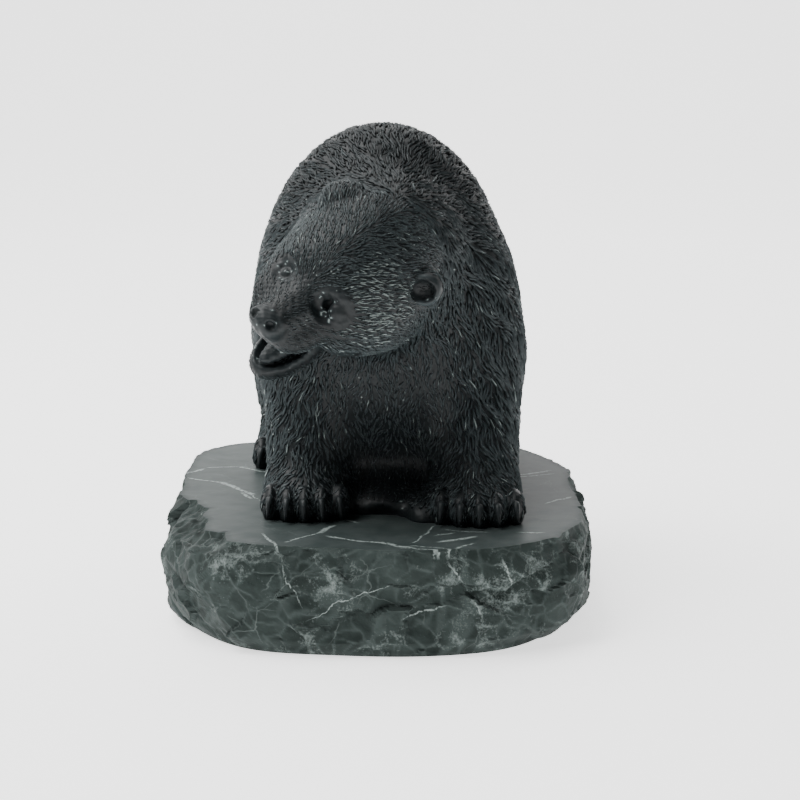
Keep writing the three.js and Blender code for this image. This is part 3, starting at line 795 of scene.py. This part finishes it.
def raw_shungite():
    """Raw shungite, with its top honed flat and its sides broken. The eye sees a smooth dark grey top
    with a soft gloss, matt flaked sides with whitish crushed quartz, and thin white quartz veins."""
    material, tree, shader = new_material("raw_shungite")
    shader.inputs["IOR"].default_value = 1.5
    # Lower than is usual for stone: the honed top would mirror too much of the white paper
    shader.inputs["Specular IOR Level"].default_value = 0.08
    place = node(tree, "TexCoord", out="Object")
    honed = node(tree, "Attribute", {"attribute_name": "honed"}, "Fac")
    patch = node(tree, "Attribute", {"attribute_name": "grain"}, "Fac")
    ridge = node(tree, "Attribute", {"attribute_name": "ridge"}, "Fac")

    # Wandering of the veins: a slow drift and a quick jitter
    drift = node(tree, "TexNoise", out="Color", Vector=place, Scale=1 / (7 * MM), Detail=2.0)
    jitter = node(tree, "TexNoise", out="Color", Vector=place, Scale=1 / (1.4 * MM), Detail=2.0)
    shift = node(tree, "VectorMath", {"operation": "MULTIPLY_ADD"}, _0=drift,
                 _1=(3.2 * MM,) * 3, _2=place)
    shift = node(tree, "VectorMath", {"operation": "MULTIPLY_ADD"}, _0=jitter,
                 _1=(1.1 * MM,) * 3, _2=shift)
    wandering = node(tree, "VectorMath", SUBTRACT, _0=shift, _1=(2.15 * MM,) * 3)
    on_top = largest(tree, [vein(tree, wandering, (*start, TOP), (*end, TOP), DOWN, width)
                            for start, end, width in TOP_VEINS])
    height = node(tree, "SeparateXYZ", out="Z", Vector=place)
    near_top = node(tree, "MapRange", Value=height, From_Min=(TOP - 2.5) * MM,
                    From_Max=(TOP - 1) * MM)
    on_top = node(tree, "Math", MULTIPLY, _0=on_top, _1=near_top)
    in_front = [vein(tree, wandering, start, end, INWARDS, width)
                for start, end, width in FRONT_VEINS]
    drawn = largest(tree, [on_top] + in_front)
    crumble = node(tree, "TexNoise", Vector=place, Scale=1 / (0.8 * MM), Detail=3.0)
    broken = node(tree, "MapRange", Value=crumble, From_Min=0.36, From_Max=0.5)
    drawn = node(tree, "Math", MULTIPLY, _0=drawn, _1=broken)

    # A net of hair veins between them, showing in places
    cells = node(tree, "TexVoronoi", {"feature": "DISTANCE_TO_EDGE"}, Vector=wandering,
                 Scale=1 / (13 * MM))
    net = node(tree, "MapRange", Value=cells, From_Min=0.003, From_Max=0.016, To_Min=1.0,
               To_Max=0.0)
    somewhere = node(tree, "TexNoise", Vector=place, Scale=1 / (11 * MM), Detail=1.0)
    shown = node(tree, "MapRange", Value=somewhere, From_Min=0.5, From_Max=0.62)
    net = node(tree, "Math", MULTIPLY, _0=net, _1=shown)
    on_side = node(tree, "MapRange", Value=honed, To_Min=0.2, To_Max=0.1)
    net = node(tree, "Math", MULTIPLY, _0=net, _1=on_side)

    # Crushed quartz: grains of a third of a millimetre inside the patches and along the ledges
    grains = node(tree, "TexNoise", Vector=place, Scale=1 / (0.6 * MM), Detail=4.0, Roughness=0.75)
    streaks = node(tree, "TexNoise", Vector=wandering, Scale=1 / (4 * MM), Detail=3.0)
    on_ledge = node(tree, "Math", {"operation": "MULTIPLY_ADD"}, _0=ridge, _1=0.3, _2=patch)
    level = node(tree, "MapRange", Value=on_ledge, From_Max=1.2, To_Min=1.22, To_Max=0.86)
    above = node(tree, "Math", {"operation": "ADD"}, _0=grains, _1=streaks)
    above = node(tree, "Math", SUBTRACT, _0=above, _1=level)
    grains = node(tree, "MapRange", Value=above, From_Min=0.0, From_Max=0.35, To_Max=0.6)
    on_side = node(tree, "MapRange", Value=honed, To_Min=1.0, To_Max=0.0)
    grains = node(tree, "Math", MULTIPLY, _0=grains, _1=on_side)
    white = largest(tree, [drawn, net, grains])

    cloud = node(tree, "TexNoise", Vector=place, Scale=1 / (6 * MM), Detail=4.0)
    cloud = node(tree, "MapRange", Value=cloud, From_Min=0.35, From_Max=0.65)
    side = node(tree, "Mix", OF_COLOURS, _0=cloud, _6=linear("#232a28"), _7=linear("#313937"))
    side = node(tree, "Mix", OF_COLOURS, _0=ridge, _6=side, _7=linear("#3a4240"))
    top = node(tree, "Mix", OF_COLOURS, _0=cloud, _6=linear("#343c3b"), _7=linear("#414847"))
    stone = node(tree, "Mix", OF_COLOURS, _0=honed, _6=side, _7=top)
    colour = node(tree, "Mix", OF_COLOURS, _0=white, _6=stone, _7=linear("#8b9592"))
    tree.links.new(colour, shader.inputs["Base Color"])
    rough = node(tree, "MapRange", Value=honed, To_Min=0.65, To_Max=0.5)
    tree.links.new(rough, shader.inputs["Roughness"])
    grit = node(tree, "TexNoise", Vector=place, Scale=1 / (0.7 * MM), Detail=4.0)
    depth = node(tree, "MapRange", Value=honed, To_Min=0.5, To_Max=0.03)
    bump = node(tree, "Bump", Strength=depth, Distance=0.25 * MM, Height=grit)
    tree.links.new(bump, shader.inputs["Normal"])
    return material


# The slab

OUTLINE_POWER = 4.0  # 2 is an ellipse, more is squarer
SQUARER_CORNER, SQUARER_BY = 130.0, 1.8  # degrees, and how much squarer
WAVES = ((5, 0.006, 0.7), (8, 0.005, 3.9), (13, 0.004, 1.3))
HALF_X, HALF_Y = 56.0, 71.5  # before the slab is fitted to its CAD node
# How far the honed top's rim lies inside the widest line: angle in degrees, inset
RIM_INSETS = (
    (12, 2.3), (35, 2.2), (46, 6.1), (53, 7.6), (68, 3.6), (84, 1.0), (104, 0.8), (126, 1.8),
    (153, 1.2), (168, 0.8), (187, 2.0), (199, 6.9), (209, 12.9), (221, 12.3), (229, 8.8),
    (234, 11.7), (239, 5.6), (247, 5.0), (256, 2.9), (268, 1.2), (280, 0.8), (297, 3.0),
    (308, 1.4), (319, 2.4), (340, 2.5),
)
# The side's profile: height as a share, how far out, the share of the rim's inset, squareness
SIDE_LEVELS = (
    (0.0, -3.4, 0.0, 0.68),
    (0.14, 0.0, 0.0, 0.72),
    (0.4, 0.0, 0.0, 0.9),
    (0.66, 0.2, 0.0, 1.0),
    (0.88, 0.0, 0.25, 1.0),
    (1.0, 0.0, 1.0, 1.0),
)
ANGLES, SIDE_ROWS, TOP_RINGS, UNDER_RINGS = 1000, 66, 8, 4
AROUND = 400.0  # the length that the whole way round counts as on the side
# Large flake scars: angle in degrees, height, half width, half height, depth
LARGE_SCARS = (
    (310, 26, 15, 8, 3.2), (298, 12, 10, 9, 1.0), (277, 9, 17, 11, 1.3), (259, 17, 7, 9, 1.7),
    (250, 8, 9, 8, 1.4), (242, 15, 8, 8, 1.5), (232, 8, 8, 7, 1.8), (222, 19, 9, 12, 2.0),
    (288, 14, 5, 7, 1.2), (268, 21, 8, 6, 1.0), (327, 12, 10, 12, 1.6), (203, 10, 10, 9, 1.7),
    (180, 14, 14, 12, 1.5), (140, 12, 13, 12, 1.8), (95, 14, 18, 12, 1.9), (62, 10, 12, 10, 1.6),
    (30, 15, 13, 12, 1.8), (352, 17, 11, 9, 1.5),
)
# Broken cells on the side, coarse and fine: how many, depth, tilt
BROKEN_CELLS = ((120, 0.5, 0.08), (700, 0.15, 0.12))


def rim_inset(angle):
    at, inset = np.array(RIM_INSETS).T
    return np.interp(np.degrees(angle), at, inset, period=360)


def slab_reach(angle, height):
    """How far the stone reaches from its middle at an angle and a share of its height, before it is
    flaked: the radius of an oval of the given power, times a few waves, with the side's profile."""
    heights, outs, insets, squares = np.array(SIDE_LEVELS).T
    at_corner = np.maximum(0, np.cos(angle - math.radians(SQUARER_CORNER)))
    power = (OUTLINE_POWER + SQUARER_BY * at_corner) * np.interp(height, heights, squares)
    along_x, along_y = np.abs(np.cos(angle) / HALF_X), np.abs(np.sin(angle) / HALF_Y)
    oval = (along_x ** power + along_y ** power) ** (-1 / power)
    uneven = 1 + sum(size * np.cos(n * angle + phase) for n, size, phase in WAVES)
    inset = rim_inset(angle) * np.interp(height, heights, insets)
    return oval * uneven + np.interp(height, heights, outs) - inset


def crumb(u, v, cell, rng):
    """Smooth random heights of -1 to 1 on a grid of the given cell, repeating once round the side."""
    columns = max(2, round(AROUND / cell))
    table = rng.uniform(-1, 1, (columns, int(np.ceil(v.max() / cell)) + 2))
    x, y = u / AROUND * columns, v / cell
    i, j = np.floor(x).astype(int), np.floor(y).astype(int)
    fx, fy = x - i, y - j
    fx, fy = fx * fx * (3 - 2 * fx), fy * fy * (3 - 2 * fy)
    low = table[i % columns, j] * (1 - fx) + table[(i + 1) % columns, j] * fx
    high = table[i % columns, j + 1] * (1 - fx) + table[(i + 1) % columns, j + 1] * fx
    return low * (1 - fy) + high * fy


def ringwise(gap):
    """The shorter way from one place round the side to another."""
    return (gap + AROUND / 2) % AROUND - AROUND / 2


def scar_depth(along, height):
    """How deep the large flakes went. Each is a shallow bowl, depth (1 - q) to the power 0.7, with q
    the squared distance from its middle over its half sizes, deeper at its upper end. The deepest
    one counts, which leaves sharp ridges between them."""
    depth = np.zeros(along.shape)
    for angle, z, half_width, half_height, deep in LARGE_SCARS:
        across = ringwise(along - angle * AROUND / 360) / half_width
        up = (height - z) / half_height
        bowl = np.maximum(1 - across * across - up * up, 0) ** 0.7
        depth = np.maximum(depth, deep * bowl * (0.7 + 0.3 * np.clip(up, -1, 1)))
    return depth


def broken_cells(along, height, count, deep, tilt, rng):
    """Flat facets with ledges between them: each point takes the depth and the tilt of the nearest of
    some random places. Returns the depth, and how far the point is from its facet's edge."""
    where = rng.uniform((0, -2), (AROUND, TOP + 2), (count, 2))
    base = rng.uniform(-1, 1, count) * deep
    tilts = rng.normal(0, tilt, (count, 2))
    depth, edge = np.empty(along.shape), np.empty(along.shape)
    for row in range(len(along)):
        across = ringwise(along[row][:, None] - where[:, 0])
        up = height[row][:, None] - where[:, 1]
        gap = np.sqrt(across ** 2 + (1.2 * up) ** 2)
        order = np.argpartition(gap, 1, axis=1)[:, :2]
        near = np.take_along_axis(gap, order, 1)
        first = np.take_along_axis(order, near.argmin(1)[:, None], 1)
        du, dz = np.take_along_axis(across, first, 1)[:, 0], np.take_along_axis(up, first, 1)[:, 0]
        first = first[:, 0]
        depth[row] = base[first] + tilts[first, 0] * du + tilts[first, 1] * dz
        edge[row] = np.abs(near[:, 0] - near[:, 1])
    return depth, edge


def rings_to_triangles(rows, columns):
    """Triangles between rings of points, with a middle point above the first ring and one below the
    last, which are the last two points."""
    here = np.arange(columns)
    after = np.roll(here, -1)
    start = (np.arange(rows - 1) * columns)[:, None]
    low_here, low_after = (start + here).ravel(), (start + after).ravel()
    upper = np.stack((low_here, low_here + columns, low_after + columns), 1)
    lower = np.stack((low_here, low_after + columns, low_after), 1)
    top = np.stack((np.full(columns, rows * columns), here, after), 1)
    last = (rows - 1) * columns
    bottom = np.stack((np.full(columns, rows * columns + 1), last + after, last + here), 1)
    return np.concatenate((upper, lower, top, bottom))


def make_slab():
    """The slab in the place of its CAD node: rows of points down the broken side, and rings that shrink
    to the middle on the honed top and on the sawn underside."""
    rng = np.random.default_rng(SEED + 1)
    angle = np.linspace(0, 2 * np.pi, ANGLES, endpoint=False)
    # More rows near the top than near the bottom
    angles, heights = np.meshgrid(angle, 1 - np.linspace(0, 1, SIDE_ROWS) ** 1.35)
    bare = slab_reach(angle, np.full(ANGLES, 0.5))
    edge = np.stack((bare * np.cos(angle), bare * np.sin(angle)), -1)
    steps = np.linalg.norm(np.roll(edge, -1, 0) - edge, axis=-1)
    along = np.concatenate(([0], np.cumsum(steps)[:-1])) * AROUND / steps.sum()
    along = np.broadcast_to(along, angles.shape)
    z = heights * TOP
    # The facets' edges wander
    bent_along = along + 1.6 * crumb(along, z, 5, rng) + 0.5 * crumb(along, z, 1.7, rng)
    bent_z = z + 1.3 * crumb(along, z, 5, rng) + 0.5 * crumb(along, z, 1.7, rng)
    cut = scar_depth(along, z) + 0.12 * crumb(along, z, 1.0, rng)
    ledge = np.zeros(angles.shape)
    for count, deep, tilt in BROKEN_CELLS:
        depth, to_edge = broken_cells(bent_along, bent_z, count, deep, tilt, rng)
        cut += depth
        ledge = np.maximum(ledge, smooth_step(0.9, 0.1, to_edge))
    # The ledges are a little worn
    cut = (np.roll(cut, 1, 1) + 2 * cut + np.roll(cut, -1, 1)) / 4
    keep = smooth_step(0, 0.07, heights) * (1 - 0.3 * smooth_step(0.93, 1.0, heights))
    reach = slab_reach(angles, heights) + 0.9 - keep * cut
    # Where the rim lies far in, the slope under it is lumpy
    lumps = 0.6 + 0.9 * crumb(along, reach, 3.2, rng) + 0.45 * crumb(along, reach, 1.4, rng)
    on_slope = smooth_step(0.84, 0.94, heights) * smooth_step(1.0, 0.985, heights)
    z = z - on_slope * rim_inset(angles) / 10 * lumps
    side = np.stack((reach * np.cos(angles), reach * np.sin(angles), z), -1)
    top_shares = (1 - (np.arange(1, TOP_RINGS + 1) / (TOP_RINGS + 1)) ** 1.5)[:, None, None]
    under_shares = (1 - np.arange(1, UNDER_RINGS + 1) / (UNDER_RINGS + 1))[:, None, None]
    top = side[0] * np.concatenate((top_shares, top_shares, np.ones_like(top_shares)), -1)
    under = side[-1] * np.concatenate((under_shares, under_shares, np.ones_like(under_shares)), -1)
    rings = np.concatenate((top[::-1], side, under))
    points = np.concatenate((rings.reshape(-1, 3), [(0, 0, TOP), (0, 0, 0)]))
    triangles = rings_to_triangles(len(rings), ANGLES)

    patch = np.zeros(angles.shape)
    for at, up, radius, strength in GRAIN_PATCHES:
        gap = ringwise(along - at * AROUND / 360) ** 2 + (z - up) ** 2
        patch = np.maximum(patch, strength * np.exp(-gap / radius ** 2))
    on_side = slice(TOP_RINGS, TOP_RINGS + SIDE_ROWS)
    honed, grain, ridge = np.zeros((3,) + rings.shape[:2])
    honed[:TOP_RINGS] = 1
    honed[TOP_RINGS] = 0.6
    grain[on_side] = patch
    ridge[on_side] = ledge
    low, high = (np.array(corner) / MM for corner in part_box("slab"))
    own_low, own_high = points.min(0), points.max(0)
    points = (points - own_low) * ((high - low) / (own_high - own_low)) + low
    slab = mesh_piece("raw_slab", points, triangles, raw_shungite(), honed=np.r_[honed.ravel(), 1, 0],
                      grain=np.r_[grain.ravel(), 0, 0], ridge=np.r_[ridge.ravel(), 0, 0])
    slab.data.set_sharp_from_angle(angle=math.radians(35))
    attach(slab, "root")
    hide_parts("slab")


def make_bear():
    """The bear's skin and its fur, in the place of its CAD node."""
    rng = np.random.default_rng(SEED)
    xs = grid_lines(-42, 42, lambda x: 0.6 if -36 < x < 0 else 0.95)
    ys = grid_lines(-82, 72, lambda y: 0.55 if y < -46 else 0.8 if y < -34 else 1.5)
    zs = grid_lines(-6.1, 102, lambda z: (0.75 if z < 12 else 1.5 if z < 40 else
                                          0.55 if z < 70 else 1.2))
    points, faces = skin_of(bear_distance, xs, ys, zs)
    points, normals = evened(points, faces, 2)
    low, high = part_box("bear")
    scale = (high[2] - low[2]) / MM / points[:, 2].max()
    place = (np.array(low) + np.array(high)) / 2 / MM - scale * (points.min(0) + points.max(0)) / 2
    place[2] = low[2] / MM
    stone = pressed_shungite()
    smooth = in_chunks(bald, points)
    # The cast skin is a little uneven. It ends a hair under the slab's top.
    uneven = np.sin(points @ (1.9, 1.1, 2.3)) * np.sin(points @ (-1.3, 2.2, 1.2) + 1)
    skin_points = points + (0.14 * uneven - 0.07)[:, None] * normals
    skin_points[:, 2] = np.maximum(skin_points[:, 2], -0.2)
    # Smooth parts are a little paler. The ear's rim is painted paler still, a painted highlight, and
    # the ear's cup and the left eye's hollow are darker with painted shade. Painted glints lie
    # scattered on the smooth parts, and thick on spots in the eyes.
    q = to_head(points)
    rim = smooth_step(1.0, 0.5, EAR_RIM(q))
    hollow = smooth_step(1.1, 0.8, egg(q, (7.6, -0.4, 1), (5.2, 4.6, 5.4)))
    glint_spots = smooth_step(2.1, 1.5, np.linalg.norm(q - (7.6, -1.1, -0.8), axis=-1))
    glint_spots = np.maximum(glint_spots, smooth_step(1.3, 0.8, np.linalg.norm(q - (-7.1, -0.9, 0.7), axis=-1)))
    dish = smooth_step(3.3, 2.6, np.linalg.norm(q - EAR_MIDDLE, axis=-1))
    pale = np.maximum(0.35 * smooth * (1 - dish) * (1 - 0.8 * hollow), 1.1 * rim)
    glints = rng.random(len(points)) < 0.02 * smooth + 0.22 * glint_spots
    pale = np.where(glints, 1.7, pale)
    pieces = [mesh_piece("bear_skin", skin_points * scale + place, faces, stone, crest=pale)]
    claw_points, claw_faces = claws()
    pieces.append(mesh_piece("bear_claws", claw_points * scale + place, claw_faces, stone,
                             crest=np.full(len(claw_points), 0.35)))

    furry = (smooth[faces].max(1) < 0.5) & (points[faces[:, 0], 2] > 3.4)
    faces_with_fur = faces[furry]
    on_head = in_chunks(head_share, points)[faces_with_fur[:, 0]] > 0.5
    behind = points[faces_with_fur[:, 0], 1] > 2
    # Name, where it grows, spacing, seeds to choose from, then a large stroke's length, width, height
    for name, group, spacing, count, long, wide, tall in (
        ("bear_head_fur", on_head, 0.5, 110000, 4.0, 0.68, 0.48),
        ("bear_front_fur", ~on_head & ~behind, 0.74, 120000, 4.4, 0.82, 0.55),
        ("bear_back_fur", ~on_head & behind, 0.84, 130000, 4.8, 0.95, 0.58),
    ):
        roots = thinned(scattered(points, faces_with_fur[group], count, rng), spacing, rng)
        size = in_chunks(fur_size, roots)
        if group is on_head:
            # The small strokes lie closer, the large ones further apart
            roots = roots[rng.random(len(roots)) < np.clip(0.62 / size, 0, 1)]
            size = in_chunks(fur_size, roots)
        length = long * size * rng.uniform(0.7, 1.3, len(roots))
        width = wide * size ** 0.7 * rng.uniform(0.75, 1.25, len(roots))
        height = tall * size ** 1.2 * rng.uniform(0.5, 1.35, len(roots))
        p, f, crest = fur_locks(roots, length, width, height, rng)
        # Each stroke's crest takes its painted highlight, and some take a painted glint
        crest *= np.repeat(painted_crest_light(roots, rng), len(crest) // len(roots))
        pieces.append(mesh_piece(name, p * scale + place, f, stone, crest=crest))
    for piece in pieces:
        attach(piece, "root")
        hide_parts("bear")
    return place


def make_camera(place):
    """The photograph's viewpoint, from in front of the bear and a little above it."""
    camera = bpy.data.cameras.new("camera")
    camera.sensor_width = 36
    camera.lens = CAMERA_LENS
    camera.clip_start = 0.05
    holder = bpy.data.objects.new("camera", camera)
    holder.location = [(a + b) * MM for a, b in zip(place, CAMERA_PLACE)]
    holder.rotation_euler = (math.pi / 2 - CAMERA_PITCH, 0, 0)
    bpy.context.scene.collection.objects.link(holder)
    bpy.context.scene.camera = holder


def make_light(name, place, aim, size, power):
    """A square soft light that faces the point aim."""
    light = bpy.data.lights.new(name, "AREA")
    light.shape = "SQUARE"
    light.size = size
    light.energy = power
    holder = bpy.data.objects.new(name, light)
    holder.location = place
    direction = np.array(aim) - np.array(place)
    yaw = math.atan2(direction[1], direction[0]) - math.pi / 2
    pitch = math.atan2(direction[2], math.hypot(direction[0], direction[1]))
    holder.rotation_euler = (math.pi / 2 + pitch, 0, yaw)
    bpy.context.scene.collection.objects.link(holder)


# The paper sweep, in millimetres: half its width, its two ends on the floor, the bend's radius and
# its height
SWEEP_HALF_WIDTH = 4000
SWEEP_FRONT, SWEEP_BACK = -3000, 1000
SWEEP_BEND, SWEEP_HEIGHT = 900, 3200
PAPER_GAP = 0.05  # how far the paper lies under the slab
PAPER_GLOW = 1.5
ROOM_LIGHT = 0.08
# The lights: place, aim and width in metres, power in watts
LIGHTS = (
    ("overhead", (-0.45, -0.1, 0.9), (0, 0, 0.05), 0.8, 17),
    ("wall_light", (0, 0.7, 1.5), (0, 1.9, 0.5), 1.2, 15),
)


def make_surroundings():
    """A white sweep, lit a little from below as on a light table, that bends up behind the bear. A
    large soft light over it, a light on the wall behind and a dim white room."""
    world = bpy.data.worlds.new("white_room")
    bpy.context.scene.world = world
    world.use_nodes = True
    room = world.node_tree.nodes["Background"]
    room.inputs["Color"].default_value = (1, 1, 1, 1)
    room.inputs["Strength"].default_value = ROOM_LIGHT
    material, tree, shader = new_material("white_paper")
    shader.inputs["Base Color"].default_value = linear("#f4f4f4")
    shader.inputs["Roughness"].default_value = 0.9
    shader.inputs["Emission Color"].default_value = (1, 1, 1, 1)
    shader.inputs["Emission Strength"].default_value = PAPER_GLOW
    turn = np.linspace(0, np.pi / 2, 24)
    profile = np.stack((SWEEP_BACK + SWEEP_BEND * np.sin(turn), SWEEP_BEND * (1 - np.cos(turn))), 1)
    profile = np.vstack(((SWEEP_FRONT, 0), profile, (SWEEP_BACK + SWEEP_BEND, SWEEP_HEIGHT)))
    count = len(profile)
    points = np.vstack([np.hstack((np.full((count, 1), side * SWEEP_HALF_WIDTH), profile))
                        for side in SIDES])
    points[:, 2] -= PAPER_GAP
    near = np.arange(count - 1)
    faces = np.stack((near, near + count, near + count + 1, near + 1), 1)
    sweep = mesh_piece("paper_sweep", points, faces, material)
    for light in LIGHTS:
        make_light(*light)


bear_place = make_bear()
make_slab()
make_camera(bear_place)
make_surroundings()
